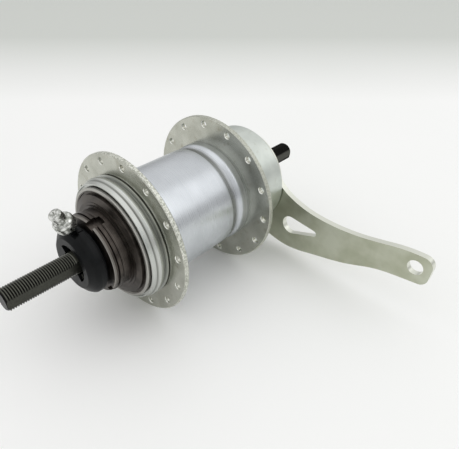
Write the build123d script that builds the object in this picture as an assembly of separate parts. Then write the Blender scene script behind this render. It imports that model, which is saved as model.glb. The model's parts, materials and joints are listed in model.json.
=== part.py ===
"""Three-speed internal gear hub with a back-pedal brake.

The axle lies along Y, the brake arm side is +Y, the sprocket side is -Y, +X is forward and +Z is up.
The origin is on the axle, midway between the two spoke flanges. An angle is counted from +Z towards +X.
"""

from build123d import *
from math import acos, atan2, cos, degrees, pi, radians, sin, tan
import os

# Axle and its fittings
axle_radius = 4.765
axle_drive_length = 83.4
axle_chamfer = 1.0
axle_flat_offset = 3.95
drive_flat_start = 52.0
brake_face = 63.5
brake_thread_length = 21.3
axle_brake_length = brake_face + brake_thread_length
thread_relief_radius = 4.2
thread_relief_width = 1.0
thread_relief_lead = 0.1
running_gap = 0.06

# Spoke flanges
flange_offset = 26.2
flange_thickness = 2.2
flange_edge_round = 0.4
spoke_circle_radius = 33.5
spoke_rim_width = 3.6
flange_radius = spoke_circle_radius + spoke_rim_width
spokes_per_flange = 14
spoke_hole_radius = 1.45
spoke_hole_chamfer = 0.25
drive_first_spoke = -45.8
brake_first_spoke = -59.3
drive_seat_radius = 25.2
brake_seat_radius = 23.9

# Hub shell
barrel_radius = 24.6
barrel_end = 14.5
barrel_edge_round = 0.5
groove_floor_radius = 23.5
groove_foot_round = 0.5
bead_radius = 24.9
bead_start = 17.9
bead_rise = 2.2
bead_fall = 1.6
bead_foot_radius = 24.3
bead_round = 3.5
boss_front = 35.2
boss_front_radius = 26.7
boss_edge_round = 0.25
boss_step_radius = 27.2
boss_step_station = 33.0
boss_line_depth = 0.35
boss_line_half_width = 0.3
boss_radius = 27.9
boss_bulge_front = 31.6
boss_bulge_back = 30.5
boss_bulge_round = 1.0
boss_groove_radius = 26.7
boss_groove_front = 29.3
boss_groove_back = 28.7
boss_lip_radius = 27.8
boss_lip_front = 28.3
boss_joint_gap = 0.3
boss_joint_depth = 0.6
mouth_radius = 26.2
mouth_depth = 0.8
shell_bore_radius = 23.1
neck_bore_radius = 22.6
neck_bore_start = 13.0
cup_bore_radius = 25.4
cup_bore_end = 28.4
shell_end = 30.0

# Ball bearings
driver_ball_radius = 1.98
driver_ball_circle = 20.0
driver_ball_station = -33.4
driver_ball_count = 20
cone_ball_radius = 1.98
cone_ball_circle = 10.7
cone_ball_station = -42.4
cone_ball_count = 12
brake_ball_radius = 2.38
brake_ball_circle = 20.6
brake_ball_station = 46.2
brake_ball_count = 18
race_gap = 0.04
pocket_gap = 0.12
cage_wall_gap = 0.35
cage_web = 0.6
cage_lip = 0.9

# Driver and dust cap
seat_radius = 17.25
seat_lip_radius = 16.9
seat_bottom = 15.4
driver_end = 46.1
seat_lead = 0.9
driver_shoulder = 37.1
driver_race_radius = 18.4
driver_race_end = 31.6
driver_mouth_radius = 12.2
driver_bore_radius = 10.0
driver_sleeve_radius = 13.0
driver_sleeve_end = 19.0
clip_groove_start = 42.0
clip_groove_width = 2.4
clip_groove_radius = 15.9
clip_wire_gap = 0.1
clip_side_gap = 0.45
clip_radius = 17.6
clip_opening = 14.6
notch_angle = 15.0
notch_width = 4.2
notch_depth_end = 40.2
notch_count = 3
dust_cap_radius = 25.3
dust_rim_front = 36.4
dust_rim_back = 35.0
dust_rim_width = 1.7
dust_rim_round = 0.35
dust_groove_width = 0.9
dust_groove_floor = 35.9
dust_dish_edge = 37.3
dust_dish_front = 37.95
dust_ring_radius = 19.8
dust_ring_front = 38.2
dust_collar_front = 38.6
dust_plate_back = 36.2
dust_plate_radius = 22.2

# Gears
gear_module = 0.8
pressure_angle = 25.0
sun_teeth = 18
planet_teeth = 16
ring_teeth = 50
planet_count = 4
addendum = 0.9
dedendum = 1.15
tooth_thinning = 0.08
gear_right = -15.0
gear_left = -2.0
gear_side_gap = 0.3
planet_pin_radius = 2.0
planet_pin_gap = 0.05

# Ring gear
ring_radius = 22.6
ring_pawl_radius = 21.0
ring_pawl_bore = 17.6
ring_pawl_right = -27.3
ring_pawl_left = -19.4
ring_teeth_start = -18.4
ring_dog_right = -31.2
ring_dog_bore = 13.4
dog_slot_radius = 15.0

# Pawls and ratchet
ratchet_teeth = 15
ratchet_tip_radius = 21.6
ratchet_root_radius = 22.5
pawl_pivot_radius = 19.35
pawl_pivot_size = 1.3
pawl_reach_angle = 20.0
pawl_gap_angle = 0.9
pawl_pocket_lead = 2.5
pawl_pocket_reach = 18.5
pawl_flank_share = 0.97
pawl_toe_outer = 22.1
pawl_toe_inner = 20.3
pawl_width = 6.4
pawl_side_gap = 0.2
pawl_teeth_apart = 8
pawl_slot_width = 1.4
spring_wire_radius = 0.35
pawl_spring_circle = 20.4
spring_end_gap = 3.0
pawl_spring_gap_angle = 120.0

# Clutch and shift sleeve
clutch_right = -24.6
clutch_hub_left = -20.2
clutch_lug_left = -22.2
clutch_bore_radius = 6.3
clutch_hub_radius = 9.7
clutch_lug_radius = 14.6
clutch_lug_width = 3.6
clutch_lug_count = 4
clutch_slot_gap = 0.3
clutch_travel = 2.4
driver_slot_start = 28.6
sleeve_radius = 6.0
sleeve_bore_radius = 5.05
sleeve_flange_radius = 7.8
sleeve_flange_width = 1.1
sleeve_foot_right = -47.8
sleeve_foot_left = -46.4
sleeve_foot_radius = 10.3
sleeve_foot_width = 1.8
tang_angle = 18.0
sleeve_foot_count = 3
sleeve_foot_angle = 60.0
clutch_spring_radius = 8.0
clutch_spring_wire = 0.5
clutch_spring_turns = 6
clutch_spring_seat = -38.6

# Carrier
carrier_dog_right = -24.0
carrier_dog_radius = 16.8
carrier_dog_bore = 13.4
carrier_dog_depth = 2.6
carrier_disc_radius = 18.7
carrier_disc_right = -17.0
carrier_disc_left = 2.0
pillar_circle = 16.4
pillar_radius = 2.2
carrier_tube_radius = 12.0
carrier_tube_end = 41.2
star_radius = 19.9
star_right = 3.4
star_left = 12.8
low_roller_radius = 2.3
low_roller_count = 6
low_roller_right = 4.8
low_roller_left = 11.4
roller_gap = 0.1
roller_end_gap = 0.3
low_cage_inner = 20.2
low_cage_outer = 22.6

# Brake
drum_radius = 25.5
drum_end = 49.7
drum_edge_round = 0.9
drum_bore_radius = 22.6
drum_race_radius = 22.2
drum_race_start = 43.0
drum_neck_left = 30.0
shoe_outer_radius = 22.2
shoe_inner_radius = 16.8
shoe_right = 30.4
shoe_left = 41.4
shoe_count = 3
shoe_angle = 110.0
shoe_groove_radius = 19.9
shoe_spring_circle = 21.2
shoe_spring_wire = 0.55
shoe_spring_gap_angle = 20.0
key_angle = 5.0
key_inner_radius = 17.0
key_outer_radius = 20.0
cam_radius = 13.0
cam_start = 30.0
brake_roller_radius = 2.2
shoe_roller_gap = 0.3
brake_roller_circle = shoe_inner_radius - shoe_roller_gap - brake_roller_radius
brake_roller_count = 5
brake_roller_right = 31.0
brake_roller_left = 39.6
brake_cage_inner = 13.2
brake_cage_outer = 15.8
lever_cone_right = 41.9
lever_flange_width = 0.8
lever_cone_radius = 22.0
lever_cone_race_radius = 19.0
lever_seal_radius = 21.8
lever_seal_start = 48.7

# Brake arm
arm_near_face = 50.0
arm_thickness = 3.0
arm_head_radius = 22.4
arm_boss_radius = 9.0
arm_boss_flat = 7.5
arm_top = ((20.6, 5.2), (26.9, -1.2), (34.0, -4.8), (43.1, -7.4), (52.0, -8.4), (61.0, -8.5),
           (70.0, -7.8), (80.0, -6.1), (90.0, -4.2), (97.0, -3.6), (105.2, -4.0))
arm_bottom = ((103.8, -17.6), (95.4, -18.6), (87.0, -19.6), (80.0, -21.0), (72.5, -23.6),
              (64.0, -26.6), (46.4, -30.7), (38.0, -32.6), (30.0, -33.3), (16.0, -30.6),
              (4.0, -26.2), (-6.0, -21.6))
arm_corner_round = 4.4
arm_hole_x = 97.6
arm_hole_z = -10.4
arm_hole_radius = 3.6
window_centre_x = 31.9
window_centre_z = -19.4
window_radius = 4.9
window_tip_x = 45.8
window_tip_z = -18.1
window_tip_radius = 1.7

# Brake-side spacer and nut
spacer_radius = 7.5
spacer_end = 58.5
nut_across_flats = 17.0

# Shift pulley
pulley_rear = 47.0
pulley_front = 54.5
pulley_radius = 15.1
pulley_face_radius = 11.2
pulley_face_round = 0.8
pulley_shoulder_radius = 13.9
pulley_shoulder_length = 1.6
pulley_shoulder_round = 2.4
pulley_dome_start = 50.9
pulley_dome_round = 1.2
pulley_rim_end = 48.3
pulley_rim_round = 0.3
pulley_neck_radius = 13.6
pulley_bore_radius = 10.9
pulley_skirt_end = 45.5
pulley_skirt_radius = 11.6
pulley_ramp_radius = 9.75
pulley_ramp_lead = 8.0
pulley_ramp_depth = 2.6
pulley_ramp_gap = 0.25
pulley_travel = 55.0
cover_thickness = 1.7
cover_bore_radius = 5.2
cover_radius = 10.9
window_outer_radius = 8.3
window_start = -43.0
window_end = 146.0
cable_notch_width = 2.2
cable_notch_depth = 1.7
cable_notch_front = 52.8
cable_notch_back = 50.7
seam_angle = 12.0
seam_width = 0.5
seam_depth = 0.6

# Drive cone and stop nut
cone_radius = 9.3
cone_left = 40.4
cone_right = 50.3
cone_slot_end = 45.9
stop_nut_radius = 9.0
stop_nut_end = 51.8
stop_horn_width = 16.0
stop_horn_inner = 5.6
stop_horn_outer = 7.3
stop_horn_length = 1.7
stop_horn_gap_angle = 0.5

# Cable anchor
anchor_centre = (-1.65, -52.75, 18.0)
anchor_axis = (0.08, -0.48, 0.87)
anchor_stem_radius = 2.6
anchor_stem_reach = 6.4
anchor_collar_radius = 4.4
anchor_collar_height = 6.2
anchor_collar_round = 2.0
anchor_screw_radius = 2.7
anchor_screw_round = 0.5
anchor_screw_reach = 7.0
anchor_screw_depth = 2.5
anchor_slot_width = 0.6
anchor_slot_depth = 0.8
anchor_slot_length = 2.8
anchor_slot_turn = 78.0
cable_hole_radius = 0.9
cable_hole_wall = 1.6

gear_reach_sun = gear_module * sun_teeth / 2
gear_reach_planet = gear_module * planet_teeth / 2
gear_reach_ring = gear_module * ring_teeth / 2
planet_circle = gear_reach_sun + gear_reach_planet


def station(y):
    """Plane across the axle at y, where a sketch's polar angle is counted from +Z towards +X."""
    return Plane(origin=(0, y, 0), x_dir=(0, 0, 1), z_dir=(0, 1, 0))


def polar(radius, angle):
    """Sketch point at a radius and an angle in degrees."""
    return (radius * cos(radians(angle)), radius * sin(radians(angle)))


def prism(sketch, start, end):
    """Sketch carried along the axle from start to end."""
    return extrude(station(start) * sketch, amount=end - start)


def turned(profile, rounds=()):
    """Solid turned about the axle from (radius, y) corners, with (corner, radius) pairs rounded."""
    face = make_face(Polyline(*profile, close=True))
    for corner, radius in rounds:
        point = Vector(*profile[corner])
        face = fillet(min(face.vertices(), key=lambda v: (Vector(v) - point).length), radius)
    return revolve(face, Axis.Y)


def tube(inner, outer, start, end):
    """Plain ring from start to end along the axle."""
    return turned([(inner, start), (outer, start), (outer, end), (inner, end)])


def sector(inner, outer, middle, width):
    """Sketch of a ring sector."""
    begin = middle - width / 2
    rim = CenterArc((0, 0), outer, begin, width)
    hub = CenterArc((0, 0), inner, begin, width)
    return make_face([*rim.edges(), *hub.edges(), Line(rim @ 0, hub @ 0), Line(rim @ 1, hub @ 1)])


def spun(shape, angle):
    """Shape turned about the axle."""
    return Rot(0, angle, 0) * shape


def steps(count, first=0.0):
    """Angles of an even pattern round the axle."""
    return [first + 360 / count * k for k in range(count)]


def key_box(width, inner, outer, start, end):
    """Flat-sided key at angle 0, from inner to outer radius."""
    middle = ((inner + outer) / 2, 0)
    return prism(Pos(*middle) * Rectangle(outer - inner, width), start, end)


def ring_tube(circle, wire, y):
    """Torus round the axle, as a race or a wire ring."""
    return Pos(0, y, 0) * Rot(90, 0, 0) * Torus(circle, wire)


def balls(radius, circle, y, count):
    """Separate balls round the axle."""
    return [spun(Pos(0, y, circle) * Sphere(radius), angle) for angle in steps(count)]


def ball_cage(radius, circle, y, count, inner, outer):
    """Ball retainer: a ring on the -Y side of the balls with a pocket for each, open towards +Y."""
    ring = tube(inner + cage_wall_gap, outer - cage_wall_gap, y - radius - cage_web, y + cage_lip)
    for ball in balls(radius + pocket_gap, circle, y, count):
        ring -= ball
    return ring


def involute(radius, base):
    """Involute function at a radius, in radians."""
    if radius <= base:
        return 0.0
    angle = acos(base / radius)
    return tan(angle) - angle


def gear_face(teeth, low, high, thinning, phase):
    """Sketch of a gear outline: involute flanks as arcs, with a tooth centred on the phase angle."""
    pitch = gear_module * teeth / 2
    base = pitch * cos(radians(pressure_angle))

    def half(radius):
        at_pitch = pi / (2 * teeth) - thinning / (2 * pitch)
        return degrees(at_pitch + involute(pitch, base) - involute(radius, base))

    middle = (low + high) / 2
    edges = []
    for centre in steps(teeth, phase):
        rise = [polar(r, centre - half(r)) for r in (low, middle, high)]
        fall = [polar(r, centre + half(r)) for r in (high, middle, low)]
        following = polar(low, centre + 360 / teeth - half(low))
        edges += [
            ThreePointArc(*rise),
            ThreePointArc(rise[2], polar(high, centre), fall[0]),
            ThreePointArc(*fall),
            ThreePointArc(fall[2], polar(low, centre + 180 / teeth), following),
        ]
    return make_face(edges)


def outer_gear(teeth, phase):
    """Sketch of an external gear."""
    pitch = gear_module * teeth / 2
    low = pitch - dedendum * gear_module
    return gear_face(teeth, low, pitch + addendum * gear_module, tooth_thinning, phase)


def make_axle():
    """Black steel axle at its thread's outer diameter, with a flat and a thread relief at each end."""
    body = turned([
        (0, -axle_drive_length),
        (axle_radius - axle_chamfer, -axle_drive_length),
        (axle_radius, -axle_drive_length + axle_chamfer),
        (axle_radius, axle_brake_length - axle_chamfer),
        (axle_radius - axle_chamfer, axle_brake_length),
        (0, axle_brake_length),
    ])
    waste = axle_radius
    for start, end in ((-axle_drive_length, -drive_flat_start), (brake_face, axle_brake_length)):
        block = Rectangle(4 * axle_radius, waste)
        body -= prism(Pos(0, axle_flat_offset + waste / 2) * block, start, end)
    drive_relief = -pulley_front - thread_relief_lead
    brake_relief = brake_face + thread_relief_lead - thread_relief_width
    for start in (drive_relief, brake_relief):
        body -= tube(thread_relief_radius, 2 * axle_radius, start, start + thread_relief_width)
    return body


def make_sun():
    """Sun gear pressed on the axle."""
    return prism(outer_gear(sun_teeth, 0) - Circle(axle_radius), gear_right, gear_left)


def make_planet(number):
    """One planet gear: teeth face the sun on every second planet, gaps on the others."""
    angle = steps(planet_count)[number]
    half_tooth = 180 / planet_teeth
    phase = angle + (half_tooth if number % 2 == 0 else 0)
    face = outer_gear(planet_teeth, phase) - Circle(planet_pin_radius + planet_pin_gap)
    return prism(Pos(*polar(planet_circle, angle)) * face, gear_right, gear_left)


def make_ring():
    """Ring gear: internal teeth, the pawl pockets and the dog flange for the clutch."""
    body = turned([
        (ring_dog_bore, ring_dog_right),
        (ring_pawl_radius, ring_dog_right),
        (ring_pawl_radius, ring_pawl_left),
        (ring_radius, ring_pawl_left),
        (ring_radius, gear_left),
        (ring_pawl_bore, gear_left),
        (ring_pawl_bore, ring_pawl_right),
        (ring_dog_bore, ring_pawl_right),
    ])
    low = gear_reach_ring - addendum * gear_module
    high = gear_reach_ring + dedendum * gear_module
    void = gear_face(ring_teeth, low, high, -tooth_thinning, 180 / ring_teeth)
    body -= prism(void, ring_teeth_start, gear_left)
    for angle in steps(clutch_lug_count):
        slot = key_box(clutch_lug_width + 2 * clutch_slot_gap, 0, dog_slot_radius, ring_dog_right,
                       ring_pawl_right)
        body -= spun(slot, angle + 180 / clutch_lug_count)
    for pocket in pawl_angles():
        body -= prism(pawl_pocket(pocket), pawl_right() - pawl_side_gap, pawl_left() + pawl_side_gap)
    body -= ring_tube(pawl_spring_circle + spring_wire_radius, 2 * spring_wire_radius, pawl_middle())
    return body


def pawl_middle():
    """Middle of the pawls along the axle."""
    return (ring_pawl_right + ring_pawl_left) / 2


def pawl_right():
    """Drive-side face of the pawls."""
    return pawl_middle() - pawl_width / 2


def pawl_left():
    """Brake-side face of the pawls."""
    return pawl_middle() + pawl_width / 2


def pawl_angles():
    """Angles of the ratchet faces that the two pawls push on."""
    return [0.0, pawl_teeth_apart * 360 / ratchet_teeth]


def pawl_pocket(face_angle):
    """Sketch of the pocket that a pawl turns in."""
    pivot = polar(pawl_pivot_radius, face_angle - pawl_reach_angle)
    width = pawl_pocket_lead + pawl_pocket_reach
    middle = face_angle + (pawl_pocket_lead - pawl_pocket_reach) / 2
    room = sector(pawl_pivot_radius - pawl_pivot_size, ratchet_root_radius, middle, width)
    return Pos(*pivot) * Circle(pawl_pivot_size + running_gap) + room


def make_pawl(face_angle):
    """Pawl with a split toe that rests against a ratchet face of the ball cup."""
    pivot_angle = face_angle - pawl_reach_angle
    pivot = Vector(*polar(pawl_pivot_radius, pivot_angle))
    toe = face_angle - pawl_gap_angle
    toe_outer = Vector(*polar(pawl_toe_outer, toe))
    toe_inner = Vector(*polar(pawl_toe_inner, toe))
    along = (toe_outer + toe_inner) * 0.5 - pivot
    side = Vector(-along.Y, along.X).normalized() * pawl_pivot_size
    if (side.X * pivot.X + side.Y * pivot.Y) < 0:
        side = side * -1
    side = side * pawl_flank_share
    corners = [pivot + side, toe_outer, toe_inner, pivot - side]
    face = make_face(Polyline(*[(c.X, c.Y) for c in corners], close=True))
    face += Pos(pivot.X, pivot.Y) * Circle(pawl_pivot_size)
    body = prism(face, pawl_right(), pawl_left())
    split = tube(pawl_spring_circle - 2 * spring_wire_radius, ratchet_root_radius,
                 pawl_middle() - pawl_slot_width / 2, pawl_middle() + pawl_slot_width / 2)
    return body - split


def make_pawl_spring():
    """Open wire ring that holds both pawls out."""
    ring = ring_tube(pawl_spring_circle, spring_wire_radius, pawl_middle())
    gap = key_box(spring_end_gap, ring_pawl_bore, ratchet_root_radius, pawl_right(), pawl_left())
    return ring - spun(gap, pawl_spring_gap_angle)


def make_ball_cup():
    """Drive-side ball cup: ball race and internal ratchet, screwed into the boss."""
    front = -boss_front + mouth_depth
    body = turned([
        (ratchet_tip_radius, front),
        (cup_bore_radius, front),
        (cup_bore_radius, -cup_bore_end),
        (shell_bore_radius, -cup_bore_end),
        (shell_bore_radius, ring_pawl_left),
        (ratchet_tip_radius, ring_pawl_left),
    ])
    body -= ring_tube(driver_ball_circle, driver_ball_radius + race_gap, driver_ball_station)
    body -= turned([
        (driver_ball_circle, driver_ball_station),
        (driver_ball_circle + driver_ball_radius + race_gap, driver_ball_station),
        (driver_ball_circle + driver_ball_radius + race_gap, front - 1),
        (driver_ball_circle, front - 1),
    ])
    points = []
    for angle in steps(ratchet_teeth):
        points += [polar(ratchet_root_radius, angle), polar(ratchet_tip_radius, angle)]
    void = make_face(Polyline(*points, close=True))
    return body - prism(void, ring_pawl_right, ring_pawl_left)


def make_shell():
    """Silver hub shell: stepped boss, barrel, groove and rounded bead, bored right through."""
    near = flange_offset + flange_thickness / 2
    far = flange_offset - flange_thickness / 2
    profile = [
        (mouth_radius, -boss_front),
        (boss_front_radius, -boss_front),
        (boss_step_radius, -boss_step_station),
        (boss_radius, -boss_bulge_front),
        (boss_radius, -boss_bulge_back),
        (boss_groove_radius, -boss_groove_front),
        (boss_groove_radius, -boss_groove_back),
        (boss_lip_radius, -boss_lip_front),
        (boss_lip_radius, -near - boss_joint_gap),
        (boss_lip_radius - boss_joint_depth, -near - boss_joint_gap),
        (boss_lip_radius - boss_joint_depth, -near),
        (drive_seat_radius, -near),
        (drive_seat_radius, -far),
        (barrel_radius, -far),
        (barrel_radius, barrel_end),
        (groove_floor_radius, barrel_end),
        (groove_floor_radius, bead_start),
        (bead_radius, bead_start + bead_rise),
        (bead_radius, far - bead_fall),
        (bead_foot_radius, far),
        (brake_seat_radius, far),
        (brake_seat_radius, shell_end),
        (neck_bore_radius, shell_end),
        (neck_bore_radius, neck_bore_start),
        (shell_bore_radius, neck_bore_start),
        (shell_bore_radius, -cup_bore_end),
        (cup_bore_radius, -cup_bore_end),
        (cup_bore_radius, -boss_front + mouth_depth),
        (mouth_radius, -boss_front + mouth_depth),
    ]
    rounds = [(1, boss_edge_round), (3, boss_bulge_round), (4, boss_bulge_round),
              (14, barrel_edge_round), (15, groove_foot_round), (16, bead_round), (17, bead_round),
              (18, bead_round)]
    line_top = boss_step_radius + boss_line_depth
    line = turned([
        (boss_step_radius - boss_line_depth, -boss_step_station),
        (line_top, -boss_step_station - 2 * boss_line_half_width),
        (line_top, -boss_step_station + 2 * boss_line_half_width),
    ])
    return turned(profile, rounds) - line


def make_flange(centre, bore, first_spoke):
    """Spoke flange: pressed steel ring with chamfered spoke holes."""
    start, end = centre - flange_thickness / 2, centre + flange_thickness / 2
    body = turned([(bore, start), (flange_radius, start), (flange_radius, end), (bore, end)],
                  [(1, flange_edge_round), (2, flange_edge_round)])
    lead = spoke_hole_radius + spoke_hole_chamfer
    for angle in steps(spokes_per_flange, first_spoke):
        spot = Pos(*polar(spoke_circle_radius, angle))
        body -= prism(spot * Circle(spoke_hole_radius), start, end)
        for face, inward in ((start, 1), (end, -1)):
            cone = loft([station(face) * spot * Circle(lead),
                         station(face + inward * spoke_hole_chamfer) * spot * Circle(spoke_hole_radius)])
            body -= cone
    return body


def make_driver():
    """Driver: sprocket seat with three notches, two ball races and the slotted clutch sleeve."""
    clip_end = clip_groove_start + clip_groove_width
    body = turned([
        (driver_bore_radius, -cone_left),
        (driver_mouth_radius, -cone_left),
        (driver_mouth_radius, -driver_end),
        (seat_lip_radius, -driver_end),
        (seat_radius, -driver_end + seat_lead),
        (seat_radius, -clip_end),
        (clip_groove_radius, -clip_end),
        (clip_groove_radius, -clip_groove_start),
        (seat_radius, -clip_groove_start),
        (seat_radius, -driver_shoulder),
        (driver_race_radius, -driver_shoulder),
        (driver_race_radius, -driver_race_end),
        (driver_sleeve_radius, -driver_race_end),
        (driver_sleeve_radius, -driver_sleeve_end),
        (driver_bore_radius, -driver_sleeve_end),
    ], [(3, 0.4)])
    body -= ring_tube(driver_ball_circle, driver_ball_radius + race_gap, driver_ball_station)
    body -= ring_tube(cone_ball_circle, cone_ball_radius + race_gap, cone_ball_station)
    for angle in steps(notch_count, notch_angle):
        notch = key_box(notch_width, seat_bottom, seat_radius + 1, -driver_end, -notch_depth_end)
        body -= spun(notch, angle)
    slot_width = clutch_lug_width + 2 * clutch_slot_gap
    for angle in steps(clutch_lug_count):
        slot = key_box(slot_width, driver_bore_radius - 1, driver_sleeve_radius + 1,
                       -driver_slot_start, -driver_sleeve_end)
        body -= spun(slot, angle)
    return body


def make_clip():
    """Wire ring that keeps the sprocket on its seat."""
    inner = clip_groove_radius + clip_wire_gap
    start = -clip_groove_start - clip_groove_width + clip_side_gap
    ring = sector(inner, clip_radius, notch_angle + 180, 360 - clip_opening)
    return prism(ring, start, -clip_groove_start - clip_side_gap)


def make_dust_cap():
    """Dark dished dust cap, pressed over the sprocket seat against its shoulder."""
    rim_inner = dust_cap_radius - dust_rim_width
    dish_radius = rim_inner - dust_groove_width
    bore = driver_race_radius + running_gap
    return turned([
        (seat_radius, -dust_collar_front),
        (driver_race_radius, -dust_collar_front),
        (driver_race_radius, -dust_ring_front),
        (dust_ring_radius, -dust_ring_front),
        (dust_ring_radius, -dust_dish_front),
        (dish_radius, -dust_dish_edge),
        (dish_radius, -dust_groove_floor),
        (rim_inner, -dust_groove_floor),
        (rim_inner, -dust_rim_front),
        (dust_cap_radius, -dust_rim_front),
        (dust_cap_radius, -dust_rim_back),
        (dust_plate_radius, -dust_rim_back),
        (dust_plate_radius, -dust_plate_back),
        (bore, -dust_plate_back),
        (bore, -driver_shoulder),
        (seat_radius, -driver_shoulder),
    ], [(8, dust_rim_round), (9, dust_rim_round)])


def make_cone():
    """Drive cone on the axle: the driver's inner race, slotted for the feet of the shift sleeve."""
    body = tube(axle_radius, cone_radius, -cone_right, -cone_left)
    body -= ring_tube(cone_ball_circle, cone_ball_radius + race_gap, cone_ball_station)
    for angle in steps(sleeve_foot_count, sleeve_foot_angle):
        gap = 2 * clutch_slot_gap
        body -= spun(key_box(sleeve_foot_width + gap, 0, sleeve_radius + 0.2, -cone_right, -cone_left),
                     angle)
        body -= spun(key_box(sleeve_foot_width + gap, 0, cone_radius + 1, -cone_right, -cone_slot_end),
                     angle)
    return body


def make_stop_nut():
    """Round nut against the cone, with two horns that stop the pulley at each end of its turn."""
    body = tube(axle_radius, stop_nut_radius, -stop_nut_end, -cone_right)
    first = window_end - stop_horn_width / 2
    second = window_start + pulley_travel + stop_horn_width / 2
    for angle in (first - stop_horn_gap_angle, second + stop_horn_gap_angle):
        horn = sector(stop_horn_inner, stop_horn_outer, angle, stop_horn_width)
        body += prism(horn, -stop_nut_end - stop_horn_length, -stop_nut_end)
    return body


def make_sleeve():
    """Shift sleeve round the axle: three feet in the pulley's ramps, and a flange that draws the clutch."""
    flange_right = clutch_hub_left + 0.1
    flange_left = flange_right + sleeve_flange_width
    body = turned([
        (sleeve_bore_radius, sleeve_foot_right),
        (sleeve_radius, sleeve_foot_right),
        (sleeve_radius, flange_right),
        (sleeve_flange_radius, flange_right),
        (sleeve_flange_radius, flange_left),
        (sleeve_bore_radius, flange_left),
    ])
    tang_end = -cone_left + clutch_travel + 0.4
    middle = (sleeve_bore_radius + sleeve_radius) / 2
    foot = key_box(sleeve_foot_width, middle, sleeve_foot_radius, sleeve_foot_right, sleeve_foot_left)
    for angle in steps(sleeve_foot_count, sleeve_foot_angle):
        gap = sector(axle_radius, 2 * sleeve_radius, angle + 180 / sleeve_foot_count,
                     360 / sleeve_foot_count - tang_angle)
        body -= prism(gap, sleeve_foot_right - 1, tang_end)
    for angle in steps(sleeve_foot_count, sleeve_foot_angle):
        body += spun(foot, angle)
    return body


def make_clutch():
    """Clutch ring whose four lugs pass through the driver's slots into the carrier's dogs."""
    body = tube(clutch_bore_radius, clutch_hub_radius, clutch_right, clutch_hub_left)
    for angle in steps(clutch_lug_count):
        lug = key_box(clutch_lug_width, clutch_bore_radius + 1, clutch_lug_radius, clutch_right,
                      clutch_lug_left)
        body += spun(lug, angle)
    return body


def make_clutch_spring():
    """Coil spring that returns the clutch."""
    room = clutch_right - clutch_spring_seat - 2 * clutch_spring_wire - 0.2
    line = Helix(room / clutch_spring_turns, room, clutch_spring_radius)
    start = line @ 0
    section = Plane(origin=start, z_dir=line % 0) * Circle(clutch_spring_wire)
    coil = sweep(section, path=line)
    return Pos(0, clutch_right - clutch_spring_wire - 0.1, 0) * Rot(90, 0, 0) * coil


def make_spring_seat():
    """Washer in the driver that the clutch spring stands on."""
    return tube(sleeve_radius + 0.3, driver_bore_radius, clutch_spring_seat - 1.2, clutch_spring_seat)


def make_carrier():
    """Planet carrier: dog ring, two discs joined by pillars, roller star and brake cam on one tube."""
    bore = axle_radius + running_gap
    body = tube(carrier_dog_bore, carrier_dog_radius, carrier_dog_right, carrier_disc_right)
    body += tube(bore, carrier_disc_radius, carrier_disc_right, gear_right - gear_side_gap)
    body += tube(bore, carrier_disc_radius, gear_left + gear_side_gap, carrier_disc_left)
    body += tube(bore, carrier_tube_radius, carrier_disc_left, carrier_tube_end)
    body += tube(carrier_tube_radius, star_radius, star_right, star_left)
    body += tube(carrier_tube_radius, cam_radius, cam_start, carrier_tube_end)
    for angle in steps(planet_count, 180 / planet_count):
        pillar = Pos(*polar(pillar_circle, angle)) * Circle(pillar_radius)
        body += prism(pillar, gear_right - gear_side_gap, gear_left + gear_side_gap)
    for angle in steps(clutch_lug_count):
        slot = key_box(clutch_lug_width + 2 * clutch_slot_gap, carrier_dog_bore - 1, dog_slot_radius,
                       carrier_dog_right, carrier_dog_right + carrier_dog_depth)
        body -= spun(slot, angle)
    for angle in steps(planet_count):
        hole = Pos(*polar(planet_circle, angle)) * Circle(planet_pin_radius)
        body -= prism(hole, carrier_disc_right, carrier_disc_left)
    low_circle = shell_bore_radius - roller_gap - low_roller_radius
    for angle in steps(low_roller_count):
        seat = Pos(*polar(low_circle, angle)) * Circle(low_roller_radius + roller_gap)
        body -= prism(seat, star_right, star_left)
    for angle in steps(brake_roller_count):
        seat = Pos(*polar(brake_roller_circle, angle)) * Circle(brake_roller_radius + roller_gap)
        body -= prism(seat, cam_start, carrier_tube_end)
    return body


def make_pins():
    """Four planet pins, pressed in the carrier."""
    pin = Circle(planet_pin_radius)
    return [prism(Pos(*polar(planet_circle, angle)) * pin, carrier_disc_right, carrier_disc_left)
            for angle in steps(planet_count)]


def make_rollers(radius, circle, start, end, count):
    """Separate rollers round the axle."""
    return [prism(Pos(*polar(circle, angle)) * Circle(radius), start, end) for angle in steps(count)]


def make_roller_cage(inner, outer, start, end, radius, circle, count):
    """Roller cage: a ring with a window for each roller."""
    ring = tube(inner, outer, start - 1.2, end + 1.2)
    window = radius + pocket_gap
    for angle in steps(count):
        hole = Pos(*polar(circle, angle)) * Circle(window)
        ring -= prism(hole, start - roller_end_gap, end + roller_end_gap)
    return ring


def make_drum():
    """Zinc-plated brake drum housing, pressed over the end of the shell beside the left flange."""
    start = flange_offset + flange_thickness / 2
    body = turned([
        (brake_seat_radius, start),
        (drum_radius, start),
        (drum_radius, drum_end),
        (drum_race_radius, drum_end),
        (drum_race_radius, drum_race_start),
        (drum_bore_radius, drum_race_start),
        (drum_bore_radius, drum_neck_left),
        (brake_seat_radius, drum_neck_left),
    ], [(2, drum_edge_round)])
    return body - ring_tube(brake_ball_circle, brake_ball_radius + race_gap, brake_ball_station)


def make_shoe(angle):
    """Brake shoe: one of three curved segments with a groove for the ring spring."""
    body = prism(sector(shoe_inner_radius, shoe_outer_radius, angle, shoe_angle), shoe_right, shoe_left)
    middle = (shoe_right + shoe_left) / 2
    groove = 2 * shoe_spring_wire
    return body - tube(shoe_groove_radius, shoe_outer_radius + 1, middle - groove, middle + groove)


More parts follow.
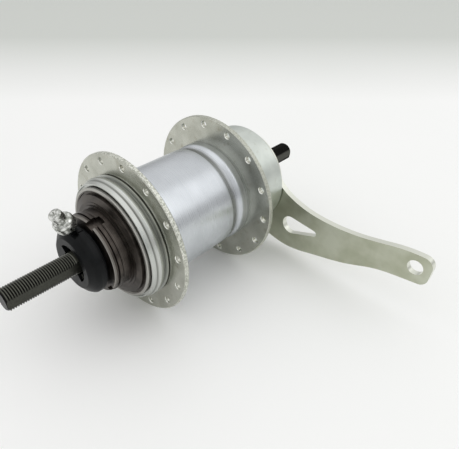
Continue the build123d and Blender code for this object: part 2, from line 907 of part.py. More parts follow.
def make_shoe_spring():
    """Open wire ring that draws the shoes in."""
    ring = ring_tube(shoe_spring_circle, shoe_spring_wire, (shoe_right + shoe_left) / 2)
    gap = key_box(spring_end_gap, shoe_inner_radius, drum_radius, shoe_right, shoe_left)
    return ring - spun(gap, shoe_spring_gap_angle)


def make_lever_cone():
    """Fixed lever cone: left ball race, three keys between the shoes and the boss for the arm."""
    bore = axle_radius
    body = turned([
        (bore, lever_cone_right),
        (lever_cone_radius, lever_cone_right),
        (lever_cone_radius, lever_cone_right + lever_flange_width),
        (lever_cone_race_radius, lever_cone_right + lever_flange_width),
        (lever_cone_race_radius, lever_seal_start),
        (lever_seal_radius, lever_seal_start),
        (lever_seal_radius, arm_near_face),
        (bore, arm_near_face),
    ])
    body -= ring_tube(brake_ball_circle, brake_ball_radius + race_gap, brake_ball_station)
    for angle in steps(shoe_count, 180 / shoe_count):
        key = sector(key_inner_radius, key_outer_radius, angle, key_angle)
        body += prism(key, shoe_right, lever_cone_right)
    boss = Circle(arm_boss_radius) & Rectangle(4 * arm_boss_radius, 2 * arm_boss_flat)
    body += prism(boss - Circle(axle_radius), arm_near_face, arm_near_face + arm_thickness)
    return body


def arm_outline():
    """Sketch of the brake arm: round head, waisted arm with a rounded end, in (z, x)."""
    top = Spline(*[(z, x) for x, z in arm_top])
    under = Spline(*[(z, x) for x, z in arm_bottom])
    face = make_face([top, Line(top @ 1, under @ 0), under, Line(under @ 1, top @ 0)])
    corners = face.vertices().sort_by(Axis.Y)[-2:]
    return fillet(corners, arm_corner_round) + Circle(arm_head_radius)


def make_arm():
    """Brake arm, cut from plate, with a teardrop window and the hole for the frame clip."""
    face = arm_outline()
    face -= Circle(arm_boss_radius) & Rectangle(4 * arm_boss_radius, 2 * arm_boss_flat)
    face -= Pos(arm_hole_z, arm_hole_x) * Circle(arm_hole_radius)
    face -= teardrop()
    return prism(face, arm_near_face, arm_near_face + arm_thickness)


def teardrop():
    """Sketch of the arm's window: a large and a small circle joined by their common tangents."""
    run = Vector(window_tip_z - window_centre_z, window_tip_x - window_centre_x)
    lean = degrees(acos((window_radius - window_tip_radius) / run.length))
    heading = degrees(atan2(run.Y, run.X))
    centre = Vector(window_centre_z, window_centre_x)
    tip = Vector(window_tip_z, window_tip_x)
    corners = []
    for spot, radius, side in ((centre, window_radius, 1), (tip, window_tip_radius, 1),
                               (tip, window_tip_radius, -1), (centre, window_radius, -1)):
        reach = Vector(*polar(radius, heading + side * lean))
        corners.append((spot + reach))
    body = make_face(Polyline(*[(c.X, c.Y) for c in corners], close=True))
    body += Pos(centre.X, centre.Y) * Circle(window_radius)
    return body + Pos(tip.X, tip.Y) * Circle(window_tip_radius)


def make_spacer():
    """Spacer between the arm and the locknut."""
    return tube(axle_radius, spacer_radius, arm_near_face + arm_thickness, spacer_end)


def make_locknut():
    """Hexagonal brake-side locknut."""
    flats = RegularPolygon(nut_across_flats / 2, 6, major_radius=False)
    body = prism(flats - Circle(axle_radius), spacer_end, brake_face)
    corner = nut_across_flats / 2 / cos(radians(30))
    trim = 0.8
    limit = turned([
        (0, spacer_end), (corner - trim, spacer_end), (corner, spacer_end + trim / 2),
        (corner, brake_face - trim / 2), (corner - trim, brake_face), (0, brake_face),
    ])
    return body & limit


def make_pulley():
    """Black shift pulley: domed body, cable notch, and three inner ramps that move the shift sleeve."""
    body = turned([
        (pulley_bore_radius, -pulley_front),
        (pulley_face_radius, -pulley_front),
        (pulley_shoulder_radius, -pulley_dome_start - pulley_shoulder_length),
        (pulley_radius, -pulley_dome_start),
        (pulley_radius, -pulley_rim_end),
        (pulley_neck_radius, -pulley_rim_end),
        (pulley_neck_radius, -pulley_rear),
        (pulley_skirt_radius, -pulley_rear),
        (pulley_skirt_radius, -pulley_skirt_end),
        (pulley_bore_radius, -pulley_skirt_end),
    ], [(1, pulley_face_round), (2, pulley_shoulder_round), (3, pulley_dome_round), (4, pulley_rim_round)])
    for angle in steps(sleeve_foot_count, sleeve_foot_angle):
        body += pulley_ramp(angle)
    seam = key_box(seam_width, pulley_radius - seam_depth, 2 * pulley_radius,
                   -pulley_front, -pulley_rim_end)
    notch = key_box(cable_notch_width, pulley_radius - cable_notch_depth, 2 * pulley_radius,
                    -cable_notch_front, -cable_notch_back)
    return body - spun(seam, seam_angle) - spun(notch, seam_angle)


def pulley_ramp(foot_angle):
    """Ramp inside the pulley that pushes one foot of the shift sleeve as the pulley turns."""
    width = pulley_travel + pulley_ramp_lead
    middle = foot_angle - pulley_travel / 2
    block = prism(sector(pulley_ramp_radius, pulley_bore_radius + pulley_ramp_gap, middle, width),
                  -pulley_rear - pulley_ramp_depth, -pulley_skirt_end)
    slope = degrees(atan2(clutch_travel, pulley_ramp_radius * radians(pulley_travel)))
    face_middle = sleeve_foot_left + pulley_ramp_gap - clutch_travel / 2
    room = 4 * pulley_radius
    waste = Box(room, room, room, align=(Align.CENTER, Align.MAX, Align.CENTER))
    tilted = Pos(0, face_middle, 0) * Rot(0, middle, 0) * Rot(0, 0, slope) * waste
    return block - tilted


def make_cover():
    """Front cover of the pulley, with the curved window that the stop horns stand in."""
    face = Circle(cover_radius) - Circle(cover_bore_radius)
    middle = (window_start + window_end) / 2
    face -= sector(cover_bore_radius - 1, window_outer_radius, middle, window_end - window_start)
    return prism(face, -pulley_front, -pulley_front + cover_thickness)


def anchor_rod(radius, start, end):
    """Cylinder along the leaning axis of the cable anchor, counted from the middle of its collar."""
    place = Plane(origin=anchor_centre, x_dir=(1, 0, 0), z_dir=anchor_axis)
    return extrude(place.offset(start) * Circle(radius), amount=end - start)


def anchor_stem():
    """Stem of the cable anchor, which fills its seat in the pulley."""
    return anchor_rod(anchor_stem_radius, -anchor_stem_reach, -anchor_collar_height / 2)


def make_anchor():
    """Silver cable anchor: stem in the pulley, round collar with a cross hole for the cable."""
    half = anchor_collar_height / 2
    collar = anchor_rod(anchor_collar_radius, -half, half)
    collar = fillet(collar.edges().filter_by(GeomType.CIRCLE), anchor_collar_round)
    body = collar + anchor_stem()
    body -= anchor_rod(anchor_screw_radius, half - anchor_screw_depth, half)
    hole = Cylinder(cable_hole_radius, 4 * anchor_collar_radius, rotation=(0, 90, 0))
    drop = -half + cable_hole_radius + cable_hole_wall
    place = Plane(origin=anchor_centre, x_dir=(1, 0, 0), z_dir=anchor_axis)
    return body - place.offset(drop) * hole


def make_anchor_screw():
    """Slotted clamp screw of the cable anchor."""
    start = anchor_collar_height / 2 - anchor_screw_depth
    body = anchor_rod(anchor_screw_radius, start, anchor_screw_reach)
    rim = body.edges().filter_by(GeomType.CIRCLE).sort_by(Axis(anchor_centre, anchor_axis))[-1]
    body = fillet(rim, anchor_screw_round)
    slot = Box(anchor_slot_width, anchor_slot_length, anchor_slot_depth,
               align=(Align.CENTER, Align.CENTER, Align.MAX))
    place = Plane(origin=anchor_centre, x_dir=(1, 0, 0), z_dir=anchor_axis)
    return body - place.offset(anchor_screw_reach) * Rot(0, 0, anchor_slot_turn) * slot


def build_parts():
    """Every node of the hub by its name."""
    low_circle = shell_bore_radius - roller_gap - low_roller_radius
    parts = {
        "axle": make_axle(),
        "sun_gear": make_sun(),
        "drive_cone": make_cone(),
        "stop_nut": make_stop_nut(),
        "lever_cone": make_lever_cone(),
        "brake_arm": make_arm(),
        "brake_side_spacer": make_spacer(),
        "brake_side_locknut": make_locknut(),
        "hub_shell": make_shell(),
        "right_flange": make_flange(-flange_offset, drive_seat_radius, drive_first_spoke),
        "left_flange": make_flange(flange_offset, brake_seat_radius, brake_first_spoke),
        "drive_ball_cup": make_ball_cup(),
        "brake_drum": make_drum(),
        "driver": make_driver(),
        "sprocket_clip": make_clip(),
        "dust_cap": make_dust_cap(),
        "planet_carrier": make_carrier(),
        "planet_pins": make_pins(),
        "ring_gear": make_ring(),
        "pawl_spring": make_pawl_spring(),
        "clutch": make_clutch(),
        "clutch_spring": make_clutch_spring(),
        "clutch_spring_seat": make_spring_seat(),
        "shift_sleeve": make_sleeve(),
        "shift_pulley": make_pulley() - anchor_stem(),
        "pulley_cover": make_cover(),
        "cable_anchor": make_anchor(),
        "anchor_screw": make_anchor_screw(),
        "shoe_spring": make_shoe_spring(),
        "low_gear_rollers": make_rollers(low_roller_radius, low_circle, low_roller_right,
                                         low_roller_left, low_roller_count),
        "low_gear_cage": make_roller_cage(low_cage_inner, low_cage_outer, low_roller_right,
                                          low_roller_left, low_roller_radius, low_circle,
                                          low_roller_count),
        "brake_rollers": make_rollers(brake_roller_radius, brake_roller_circle, brake_roller_right,
                                      brake_roller_left, brake_roller_count),
        "brake_roller_cage": make_roller_cage(brake_cage_inner, brake_cage_outer, brake_roller_right,
                                              brake_roller_left, brake_roller_radius,
                                              brake_roller_circle, brake_roller_count),
    }
    for number in range(planet_count):
        parts[f"planet_gear_{number + 1}"] = make_planet(number)
    for number, angle in enumerate(pawl_angles()):
        parts[f"pawl_{number + 1}"] = make_pawl(angle)
    for number, angle in enumerate(steps(shoe_count)):
        parts[f"brake_shoe_{number + 1}"] = make_shoe(angle)
    bearings = (
        ("drive", driver_ball_radius, driver_ball_circle, driver_ball_station, driver_ball_count,
         driver_race_radius, ratchet_tip_radius),
        ("cone", cone_ball_radius, cone_ball_circle, cone_ball_station, cone_ball_count,
         cone_radius, driver_mouth_radius),
        ("brake", brake_ball_radius, brake_ball_circle, brake_ball_station, brake_ball_count,
         lever_cone_race_radius, drum_race_radius),
    )
    for name, radius, circle, y, count, inner, outer in bearings:
        parts[f"{name}_balls"] = balls(radius, circle, y, count)
        parts[f"{name}_ball_cage"] = ball_cage(radius, circle, y, count, inner, outer)
    return parts


def write_parts():
    """Write one STEP file for each node."""
    os.makedirs("parts", exist_ok=True)
    for name, shape in build_parts().items():
        solids = shape if isinstance(shape, list) else [shape]
        group = Compound(children=[s for item in solids for s in item.solids()])
        export_step(group, f"parts/{name}.step")


write_parts()
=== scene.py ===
"""Looks for the internal gear hub: camera, studio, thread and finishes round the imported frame."""

import json
import math

import bpy
from mathutils import Matrix, Vector


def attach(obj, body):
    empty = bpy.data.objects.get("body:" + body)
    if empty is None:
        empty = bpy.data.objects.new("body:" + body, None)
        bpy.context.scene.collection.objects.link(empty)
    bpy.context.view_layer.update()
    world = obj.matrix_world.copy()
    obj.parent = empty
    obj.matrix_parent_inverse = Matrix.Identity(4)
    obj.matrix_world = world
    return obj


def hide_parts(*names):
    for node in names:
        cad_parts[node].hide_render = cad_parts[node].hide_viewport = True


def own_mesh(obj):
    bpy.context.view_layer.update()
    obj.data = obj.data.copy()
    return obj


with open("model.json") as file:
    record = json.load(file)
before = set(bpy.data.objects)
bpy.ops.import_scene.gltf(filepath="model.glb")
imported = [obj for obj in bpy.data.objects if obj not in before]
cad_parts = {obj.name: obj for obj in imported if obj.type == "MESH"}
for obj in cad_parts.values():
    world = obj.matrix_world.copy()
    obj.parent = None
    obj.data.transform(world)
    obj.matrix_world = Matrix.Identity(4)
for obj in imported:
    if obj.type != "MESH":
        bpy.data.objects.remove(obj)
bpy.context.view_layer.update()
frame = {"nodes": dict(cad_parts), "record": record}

# Photograph's frame, and the camera's place and axes in the hub's frame
PHOTO_WIDTH_PX = 459
FOCAL_LENGTH_PX = 473.03
SENSOR_WIDTH_MM = 36.0
NEAREST_SEEN = 0.01
CAMERA_PLACE = (0.1455, -0.1183, 0.1213)
CAMERA_RIGHT = (0.7319, 0.6815, 0.0)
CAMERA_UP = (-0.391, 0.420, 0.819)
CAMERA_FORWARD = (-0.5584, 0.5996, -0.5733)

# Axle thread, 3/8 in by 26 turns to the inch, in metres
THREAD_RADIUS = 0.004765
THREAD_PITCH = 0.0254 / 26
THREAD_DEPTH = 0.00058
AXLE_FLAT = 0.00395
AXLE_DRIVE_END = -0.0834
AXLE_BRAKE_END = 0.0848
DRIVE_THREAD_START = -0.0540
BRAKE_THREAD_START = 0.0560
DRIVE_FLAT_START = -0.0520
BRAKE_FLAT_START = 0.0635
AXLE_END_CHAMFER = 0.0010
THREAD_ROWS_PER_TURN = 8
THREAD_SIDES = 72

# Zinc plate's spangle, drawn coarse enough to show, and how deep it is, in mm
SPANGLE_MM = 0.45
SPANGLE_DEPTH_MM = 0.012

# Radii where the flange's torn rim and the dust cap's worn rim begin and are full
FLANGE_RIM_START = 0.03665
FLANGE_RIM_FULL = 0.03685
CAP_RIM_START = 0.0240
CAP_RIM_FULL = 0.0243

# Half the stretch between the flanges over which the torn rims grow duller
RIM_CHANGE_HALF = 0.01

# Painted shade in the shell's grooves, and a dark joint line at the flange: middle along the axle, half width
# in mm, and how dark
SHELL_GROOVES_MM = ((-33.0, 0.6, 0.5), (-29.0, 0.8, 0.45), (-27.5, 0.4, 0.8), (16.6, 2.3, 0.5))

# Place along the axle where the barrel's lacquer ends and the bare boss begins
LACQUER_EDGE = -0.0250
LACQUER_EDGE_WIDTH = 0.0005

# Table: painted shade darkens it behind the hub, between these distances along this direction
TABLE_HALF = 3.0
FLOOR_HEIGHT = -0.0371
BEHIND_THE_HUB = (-0.68, 0.73, 0.0)
FLOOR_FADE_START = 0.24
FLOOR_FADE_END = 0.48

# Light of the white room, from its walls up to where its ceiling begins
ROOM_WALL_LIGHT = 0.42
ROOM_CEILING_LIGHT = 0.97
ROOM_CEILING_START = 0.55

# Soft boxes, all aimed at the hub: name, place, width and power in watts
SOFT_BOXES = (("window_soft_box", (0.7, 0.5, 0.8), 1.0, 1.6),
              ("overhead_soft_box", (-0.1, 0.0, 1.2), 1.1, 1.1))


def colour(hex_code):
    """Linear RGBA of an sRGB hex code."""
    channels = [int(hex_code[i:i + 2], 16) / 255 for i in (1, 3, 5)]
    return tuple(c / 12.92 if c <= 0.04045 else ((c + 0.055) / 1.055) ** 2.4 for c in channels) + (1,)


def add(tree, kind, sockets=None, **settings):
    """Add a shader node, set its settings, and set or link its input sockets."""
    node = tree.nodes.new("ShaderNode" + kind)
    for name, value in settings.items():
        setattr(node, name, value)
    for name, value in (sockets or {}).items():
        if isinstance(value, bpy.types.NodeSocket):
            tree.links.new(value, node.inputs[name])
        else:
            node.inputs[name].default_value = value
    return node


def new_material(name):
    """Empty node material and its tree."""
    material = bpy.data.materials.new(name)
    material.use_nodes = True
    material.node_tree.nodes.clear()
    return material, material.node_tree


def finish_material(tree, sockets):
    """Close a material with a Principled shader."""
    shader = add(tree, "BsdfPrincipled", sockets)
    add(tree, "OutputMaterial", {"Surface": shader.outputs["BSDF"]})


def grain(tree, size_mm, detail=3.0):
    """Noise value whose grains are size_mm wide."""
    place = add(tree, "TexCoord").outputs["Object"]
    sized = add(tree, "Mapping", {"Vector": place, "Scale": [1000 / size_mm] * 3})
    noise = add(tree, "TexNoise", {"Vector": sized.outputs["Vector"], "Scale": 1.0, "Detail": detail})
    return noise.outputs["Fac"]


def coordinate(tree, source, axis):
    """One coordinate of the place (Object), the normal (Normal) or the world's direction (Generated)."""
    return add(tree, "SeparateXYZ", {"Vector": add(tree, "TexCoord").outputs[source]}).outputs[axis]


def off_axis(tree):
    """Distance from the axle's axis, in metres."""
    across = add(tree, "CombineXYZ", {"X": coordinate(tree, "Object", "X"),
                                      "Y": coordinate(tree, "Object", "Z")})
    return add(tree, "VectorMath", {0: across.outputs["Vector"]}, operation="LENGTH").outputs["Value"]


def along_axis(tree):
    """Place along the axle, in metres, from the drive side to the brake side."""
    return coordinate(tree, "Object", "Y")


def turning_lines(tree, pitch_mm):
    """Noise value in rings round the axle, as a turning tool leaves them, coarse enough to show."""
    place = add(tree, "CombineXYZ", {"X": off_axis(tree), "Y": along_axis(tree)})
    lines = add(tree, "TexNoise", {"Vector": place.outputs["Vector"], "Scale": 1000 / pitch_mm,
                                   "Detail": 2.0}, noise_dimensions="3D")
    return lines.outputs["Fac"]


def facing_along(tree):
    """1 where the surface faces along the axle, 0 where it faces across it."""
    side = coordinate(tree, "Normal", "Y")
    return add(tree, "Math", {0: side}, operation="ABSOLUTE").outputs["Value"]


def slanted_edges(tree):
    """1 on chamfers and rounded edges, whose normal is neither along nor across the axle, else 0."""
    lean = facing_along(tree)
    off_barrel = spread(tree, lean, 0.0, 1.0, 0.25, 0.5)
    off_face = spread(tree, lean, 1.0, 0.0, 0.88, 0.98)
    return product(tree, off_barrel, off_face)


def product(tree, first, second):
    """Product of two values."""
    return add(tree, "Math", {0: first, 1: second}, operation="MULTIPLY").outputs["Value"]


def laid_over(tree, amount, under, over):
    """Colour over laid on colour under by an amount of 0 to 1."""
    return add(tree, "Mix", {0: amount, 6: under, 7: over}, data_type="RGBA").outputs[2]


def dark_line(tree, along, middle_mm, half_width_mm, depth):
    """Amount of darkening in a ring round the axle, deepest at its middle and none past its sides: painted
    shade in a groove, and the dark joint line at the flange.
    """
    offset = add(tree, "Math", {0: along, 1: middle_mm / 1000}, operation="SUBTRACT").outputs["Value"]
    away = add(tree, "Math", {0: offset}, operation="ABSOLUTE").outputs["Value"]
    return spread(tree, away, depth, 0.0, 0.4 * half_width_mm / 1000, half_width_mm / 1000)


def blend(tree, amount, low, high, low_at=0.0, high_at=1.0):
    """Colour that runs from low to high as amount runs from low_at to high_at."""
    ramp = add(tree, "ValToRGB", {"Fac": amount})
    ramp.color_ramp.elements[0].position = low_at
    ramp.color_ramp.elements[0].color = low
    ramp.color_ramp.elements[1].position = high_at
    ramp.color_ramp.elements[1].color = high
    return ramp.outputs["Color"]


def spread(tree, amount, low, high, low_at=0.0, high_at=1.0):
    """Number that runs from low to high as amount runs from low_at to high_at."""
    sockets = {"Value": amount, "From Min": low_at, "From Max": high_at, "To Min": low, "To Max": high}
    return add(tree, "MapRange", sockets).outputs["Result"]


def bumped(tree, height, depth_mm, strength=1.0):
    """Normal with a bump of that depth."""
    sockets = {"Height": height, "Distance": depth_mm / 1000, "Strength": strength}
    return add(tree, "Bump", sockets).outputs["Normal"]


def stained_zinc(tree, low, high, stain):
    """Colour of zinc plate: cloudy satin grey with faint darker stains."""
    base = blend(tree, grain(tree, 9.0, 4.0), colour(low), colour(high), 0.35, 0.65)
    mask = spread(tree, grain(tree, 3.2, 6.0), 0.0, 0.55, 0.58, 0.75)
    return laid_over(tree, mask, base, colour(stain))


def zinc_plated_steel(name, low, high, stain, roughness):
    """Zinc plated pressed steel: satin grey with a fine spangle, and faint cloudy stains."""
    material, tree = new_material(name)
    spangle = grain(tree, SPANGLE_MM, 2.0)
    finish_material(tree, {
        "Base Color": stained_zinc(tree, low, high, stain), "Metallic": 0.97,
        "Roughness": spread(tree, spangle, roughness - 0.06, roughness + 0.1, 0.3, 0.7),
        "Normal": bumped(tree, spangle, SPANGLE_DEPTH_MM),
    })
    return material


def sheared_arm_zinc(name):
    """Zinc plate on a blanked arm: greenish satin faces with cloudy stains, and cut edges painted near white
    as a highlight, with a smoother finish.
    """
    material, tree = new_material(name)
    # Painted highlight: the cut edges, which face across the axle, are laid over near white and made smoother
    edge = spread(tree, facing_along(tree), 1.0, 0.0, 0.3, 0.7)
    clouds = blend(tree, grain(tree, 11.0, 3.0), colour("#AFB29D"), colour("#C4C7B6"), 0.35, 0.65)
    spangle = grain(tree, SPANGLE_MM, 2.0)
    finish_material(tree, {
        "Base Color": laid_over(tree, edge, clouds, colour("#DFE1D6")), "Metallic": 0.97,
        "Roughness": spread(tree, edge, 0.34, 0.3),
        "Normal": bumped(tree, spangle, SPANGLE_DEPTH_MM),
    })
    return material


def stamped_flange_zinc(name):
    """Zinc plate on a stamped ring: satin faces, chamfers painted near white as a glint, and a rough bright
    torn rim.
    """
    material, tree = new_material(name)
    face = stained_zinc(tree, "#B0B1A6", "#C4C5BB", "#97927F")
    # Painted glint: chamfers and rounded edges are laid over near white
    bright = laid_over(tree, slanted_edges(tree), face, colour("#F4F5EE"))
    torn = blend(tree, grain(tree, 0.7, 3.0), colour("#B0B2A6"), colour("#E8E9E1"), 0.4, 0.6)
    duller = spread(tree, along_axis(tree), 0.0, 0.6, -RIM_CHANGE_HALF, RIM_CHANGE_HALF)
    torn = laid_over(tree, duller, torn, colour("#B2B4A8"))
    rim = spread(tree, off_axis(tree), 0.0, 1.0, FLANGE_RIM_START, FLANGE_RIM_FULL)
    spangle = grain(tree, SPANGLE_MM, 2.0)
    finish_material(tree, {
        "Base Color": laid_over(tree, rim, bright, torn), "Metallic": 1.0,
        "Roughness": spread(tree, rim, 0.27, 0.5),
        "Normal": bumped(tree, spangle, SPANGLE_DEPTH_MM),
    })
    return material


def turned_silver(name):
    """Turned silver steel: a bright bluish lacquered barrel, a bare warmer boss, painted shade in its
    grooves, and a dark joint line at the flange.
    """
    material, tree = new_material(name)
    along = along_axis(tree)
    rings = turning_lines(tree, 0.35)
    tone = blend(tree, grain(tree, 14.0, 3.0), colour("#C2C6CA"), colour("#D0D4D8"), 0.3, 0.7)
    bare = spread(tree, along, 0.8, 0.0, LACQUER_EDGE, LACQUER_EDGE + LACQUER_EDGE_WIDTH)
    tone = laid_over(tree, bare, tone, colour("#C4C6BF"))
    # Painted shade darkens the grooves round the boss and the barrel's end; one ring is the dark joint line
    # at the flange
    for middle_mm, half_width_mm, depth in SHELL_GROOVES_MM:
        shade_and_joint_line = dark_line(tree, along, middle_mm, half_width_mm, depth)
        tone = laid_over(tree, shade_and_joint_line, tone, colour("#565650"))
    finish_material(tree, {
        "Base Color": tone, "Metallic": 1.0,
        "Roughness": spread(tree, rings, 0.25, 0.36, 0.3, 0.7),
        "Normal": bumped(tree, rings, 0.004),
    })
    return material


def burnished_steel(name):
    """Dark burnished steel, turned: brown-black with rings, its edges and outer rim worn bright."""
    material, tree = new_material(name)
    rings = turning_lines(tree, 0.5)
    clouds = grain(tree, 4.0, 5.0)
    base = blend(tree, clouds, colour("#37322E"), colour("#524C47"), 0.35, 0.65)
    streaked = laid_over(tree, spread(tree, rings, 0.0, 0.3, 0.55, 0.75), base, colour("#7A756F"))
    worn = laid_over(tree, slanted_edges(tree), streaked, colour("#9A9791"))
    rim = spread(tree, off_axis(tree), 0.0, 0.85, CAP_RIM_START, CAP_RIM_FULL)
    finish_material(tree, {
        "Base Color": laid_over(tree, rim, worn, colour("#B9B8B2")), "Metallic": 0.9,
        "Roughness": spread(tree, clouds, 0.28, 0.42, 0.3, 0.7),
        "Normal": bumped(tree, rings, 0.008),
    })
    return material


def black_oxide(name):
    """Black oxide steel with a film of oil: very dark and satin."""
    material, tree = new_material(name)
    fine = grain(tree, 0.6, 4.0)
    finish_material(tree, {
        "Base Color": blend(tree, fine, colour("#33332E"), colour("#46463F"), 0.3, 0.7), "Metallic": 0.7,
        "Roughness": spread(tree, fine, 0.34, 0.5, 0.3, 0.7),
        "Normal": bumped(tree, fine, 0.01),
    })
    return material


def worn_thread_steel(name):
    """Black oxide on a rolled thread: crests rubbed grey, most on the drive side, and roots painted near
    black as shade.
    """
    material, tree = new_material(name)
    fine = grain(tree, 0.6, 4.0)
    rubbed = spread(tree, along_axis(tree), 1.0, 0.2, 0.0, 0.05)
    crest = spread(tree, off_axis(tree), 0.0, rubbed, THREAD_RADIUS - 0.9 * THREAD_DEPTH, THREAD_RADIUS)
    # Painted shade: the thread's roots run to near black, its crests to rubbed grey
    thread = blend(tree, crest, colour("#0B0B09"), colour("#6F7067"), 0.15, 0.95)
    ahead = coordinate(tree, "Object", "X")
    flat = spread(tree, ahead, 0.0, 1.0, AXLE_FLAT - 0.00005, AXLE_FLAT - 0.00001)
    milled = blend(tree, fine, colour("#3B3B36"), colour("#494A43"), 0.3, 0.7)
    finish_material(tree, {
        "Base Color": laid_over(tree, flat, thread, milled), "Metallic": 0.8,
        "Roughness": spread(tree, fine, 0.32, 0.46, 0.3, 0.7),
        "Normal": bumped(tree, fine, 0.006),
    })
    return material


def moulded_plastic(name):
    """Moulded black nylon: deep black with a low sheen, a fine grain and a faint bloom."""
    material, tree = new_material(name)
    fine = grain(tree, 0.3, 3.0)
    clouds = grain(tree, 6.0, 3.0)
    finish_material(tree, {
        "Base Color": blend(tree, clouds, colour("#0B0C0D"), colour("#151718"), 0.3, 0.7), "IOR": 1.45,
        "Specular IOR Level": 0.15,
        "Roughness": spread(tree, clouds, 0.3, 0.42, 0.3, 0.7),
        "Normal": bumped(tree, fine, 0.01),
    })
    return material


def cast_nickel(name):
    """Nickel plate on a small casting: bright and mottled, with dark reflections in its dimples."""
    material, tree = new_material(name)
    dimples = grain(tree, 1.3, 3.0)
    finish_material(tree, {
        "Base Color": blend(tree, dimples, colour("#8E908A"), colour("#E4E5E1"), 0.38, 0.6),
        "Metallic": 0.95,
        "Roughness": spread(tree, dimples, 0.3, 0.2, 0.3, 0.7),
        "Normal": bumped(tree, dimples, 0.05, 0.5),
    })
    return material


def plain_steel(name, low, high, roughness):
    """Ground steel with a light film of grease: even grey with soft cloudy gloss."""
    material, tree = new_material(name)
    clouds = grain(tree, 2.5, 4.0)
    base = blend(tree, clouds, colour(low), colour(high), 0.3, 0.7)
    finish_material(tree, {
        "Base Color": base, "Metallic": 0.95,
        "Roughness": spread(tree, clouds, roughness - 0.05, roughness + 0.08, 0.3, 0.7),
        "Normal": bumped(tree, grain(tree, 0.3, 2.0), 0.005),
    })
    return material


def dress(finishes):
    """Give every CAD node the finish of its slot."""
    slots = {entry["node"]: entry["material_slot"] for entry in frame["record"]["subparts"]}
    for node, piece in frame["nodes"].items():
        piece.data.materials.clear()
        piece.data.materials.append(finishes[slots[node]])


def thread_radius(y, angle, start, end):
    """Radius of the threaded axle at y and an angle, with its runout."""
    turn = (y / THREAD_PITCH - angle / (2 * math.pi)) % 1.0
    ridge = abs(2 * turn - 1)
    cut = THREAD_DEPTH * min(1.0, max(0.0, 1.15 * ridge - 0.08))
    runout = min(1.0, abs(y - start) / THREAD_PITCH)
    chamfer = max(0.0, AXLE_END_CHAMFER - abs(y - end))
    return min(THREAD_RADIUS - cut * runout, THREAD_RADIUS - chamfer)


def axle_stations():
    """Places along the axle of its rings of points, each with the thread's start and the axle's end there."""
    row = THREAD_PITCH / THREAD_ROWS_PER_TURN
    drive_rows = round((DRIVE_THREAD_START - AXLE_DRIVE_END) / row)
    brake_rows = int((AXLE_BRAKE_END - BRAKE_THREAD_START) / row)
    drive = [AXLE_DRIVE_END + k * row for k in range(drive_rows + 1)]
    brake = [BRAKE_THREAD_START + k * row for k in range(brake_rows + 1)] + [AXLE_BRAKE_END]
    return ([(y, DRIVE_THREAD_START, AXLE_DRIVE_END) for y in drive]
            + [(y, BRAKE_THREAD_START, AXLE_BRAKE_END) for y in brake])


def axle_ring(y, start, end):
    """Ring of points round the axle at y, cut off at the milled flat where there is one."""
    flat = y < DRIVE_FLAT_START or y > BRAKE_FLAT_START
    points = []
    for i in range(THREAD_SIDES):
        angle = 2 * math.pi * i / THREAD_SIDES
        radius = thread_radius(y, angle, start, end)
        x = radius * math.sin(angle)
        points.append((min(x, AXLE_FLAT) if flat else x, y, radius * math.cos(angle)))
    return points


def skin(rings):
    """Faces over a row of rings of points, closed by a face at each end."""
    faces = []
    for k in range(rings - 1):
        for i in range(THREAD_SIDES):
            j = (i + 1) % THREAD_SIDES
            a, b = k * THREAD_SIDES, (k + 1) * THREAD_SIDES
            faces.append((a + i, b + i, b + j, a + j))
    last = (rings - 1) * THREAD_SIDES
    faces.append(tuple(range(THREAD_SIDES)))
    faces.append(tuple(last + i for i in reversed(range(THREAD_SIDES))))
    return faces


def threaded_axle(material):
    """Axle with its real thread on both ends, in place of the plain cylinder."""
    stations = axle_stations()
    points = [point for station in stations for point in axle_ring(*station)]
    mesh = bpy.data.meshes.new("threaded_axle")
    mesh.from_pydata(points, [], skin(len(stations)))
    mesh.validate()
    mesh.materials.append(material)
    for face in mesh.polygons:
        face.use_smooth = len(face.vertices) == 4
    piece = bpy.data.objects.new("threaded_axle", mesh)
    bpy.context.scene.collection.objects.link(piece)
    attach(piece, "axle")
    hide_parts("axle")


def shortening_clutch_spring():
    """Copy of the clutch spring, carried by the driver in place of the CAD spring."""
    node = frame["nodes"]["clutch_spring"]
    piece = bpy.data.objects.new("shortening_clutch_spring", node.data.copy())
    bpy.context.scene.collection.objects.link(piece)
    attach(piece, "driver")
    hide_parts("clutch_spring")
    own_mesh(piece)


def place_camera():
    """Camera of the photograph."""
    axes = (Vector(CAMERA_RIGHT), Vector(CAMERA_UP), -Vector(CAMERA_FORWARD))
    turn = Matrix(axes).transposed().to_4x4()
    data = bpy.data.cameras.new("camera")
    data.sensor_width = SENSOR_WIDTH_MM
    data.lens = FOCAL_LENGTH_PX / PHOTO_WIDTH_PX * SENSOR_WIDTH_MM
    data.clip_start = NEAREST_SEEN
    camera = bpy.data.objects.new("camera", data)
    camera.matrix_world = Matrix.Translation(CAMERA_PLACE) @ turn
    bpy.context.scene.collection.objects.link(camera)
    bpy.context.scene.camera = camera


def soft_lamp(name, place, size, power):
    """Large square soft box aimed at the middle of the hub."""
    data = bpy.data.lights.new(name, "AREA")
    data.size = size
    data.energy = power
    lamp = bpy.data.objects.new(name, data)
    lamp.location = place
    lamp.rotation_euler = (-Vector(place)).to_track_quat("-Z", "Y").to_euler()
    bpy.context.scene.collection.objects.link(lamp)


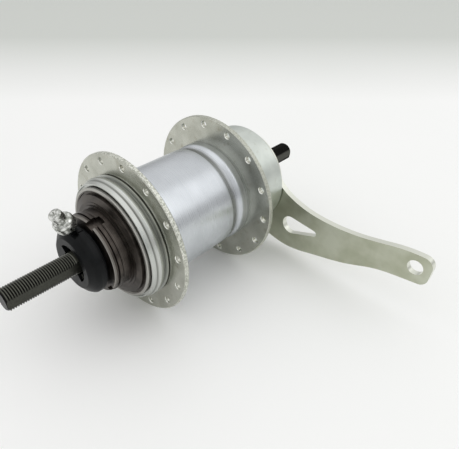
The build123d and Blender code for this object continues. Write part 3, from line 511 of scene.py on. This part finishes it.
def table():
    """Matt white table, with painted shade that darkens it far behind the hub."""
    material, tree = new_material("matt_white_table")
    near = blend(tree, grain(tree, 220.0, 2.0), colour("#F8F9F7"), colour("#FBFBFA"), 0.3, 0.7)
    place = add(tree, "TexCoord").outputs["Object"]
    behind = add(tree, "VectorMath", {0: place, 1: BEHIND_THE_HUB}, operation="DOT_PRODUCT")
    # Painted shade: the table's colour darkens far behind the hub
    far = spread(tree, behind.outputs["Value"], 0.0, 1.0, FLOOR_FADE_START, FLOOR_FADE_END)
    finish_material(tree, {"Base Color": laid_over(tree, far, near, colour("#D0D3CE")), "Roughness": 0.6,
                           "IOR": 1.4})
    corners = ((-1, -1), (1, -1), (1, 1), (-1, 1))
    mesh = bpy.data.meshes.new("table")
    mesh.from_pydata([(TABLE_HALF * x, TABLE_HALF * y, FLOOR_HEIGHT) for x, y in corners], [], [(0, 1, 2, 3)])
    mesh.materials.append(material)
    piece = bpy.data.objects.new("table", mesh)
    bpy.context.scene.collection.objects.link(piece)


def white_room():
    """World light that grows from the walls up to the ceiling."""
    world = bpy.data.worlds.new("white_room")
    world.use_nodes = True
    tree = world.node_tree
    tree.nodes.clear()
    up = coordinate(tree, "Generated", "Z")
    strength = spread(tree, up, ROOM_WALL_LIGHT, ROOM_CEILING_LIGHT, 0.0, ROOM_CEILING_START)
    light = add(tree, "Background", {"Color": colour("#F8F8F8"), "Strength": strength})
    add(tree, "OutputWorld", {"Surface": light.outputs["Background"]})
    bpy.context.scene.world = world


bpy.context.scene.view_settings.view_transform = "Standard"
place_camera()
table()
white_room()
for name, place, width, power in SOFT_BOXES:
    soft_lamp(name, place, width, power)
dress({
    "black_oxide_steel": black_oxide("black_oxide_steel_oiled"),
    "hardened_steel": plain_steel("hardened_steel_ground", "#7C7B78", "#92918D", 0.35),
    "zinc_plated_arm": sheared_arm_zinc("zinc_plated_arm_sheared"),
    "zinc_plated_nut": zinc_plated_steel("zinc_plated_nut_satin", "#B4B5AC", "#C4C5BE", "#97938A", 0.36),
    "zinc_plated_flange": stamped_flange_zinc("zinc_plated_flange_stamped"),
    "zinc_plated_drum": zinc_plated_steel("zinc_plated_drum_turned", "#C6CCC6", "#D4D9D3", "#B4B6AA", 0.34),
    "silver_shell": turned_silver("silver_steel_turned"),
    "dark_burnished_steel": burnished_steel("dark_steel_burnished"),
    "spring_wire": plain_steel("spring_wire_drawn", "#8B8A86", "#A3A29E", 0.3),
    "bearing_steel": plain_steel("bearing_steel_polished", "#C6C6C8", "#D6D6D8", 0.12),
    "pressed_cage": plain_steel("cage_steel_pressed", "#8E8A80", "#A09C92", 0.38),
    "black_plastic": moulded_plastic("black_nylon_moulded"),
    "nickel_plated": cast_nickel("nickel_plate_cast"),
    "brake_shoe_steel": plain_steel("brake_shoe_sintered", "#6E6A62", "#8B867C", 0.5),
})
threaded_axle(worn_thread_steel("black_oxide_thread_worn"))
shortening_clutch_spring()
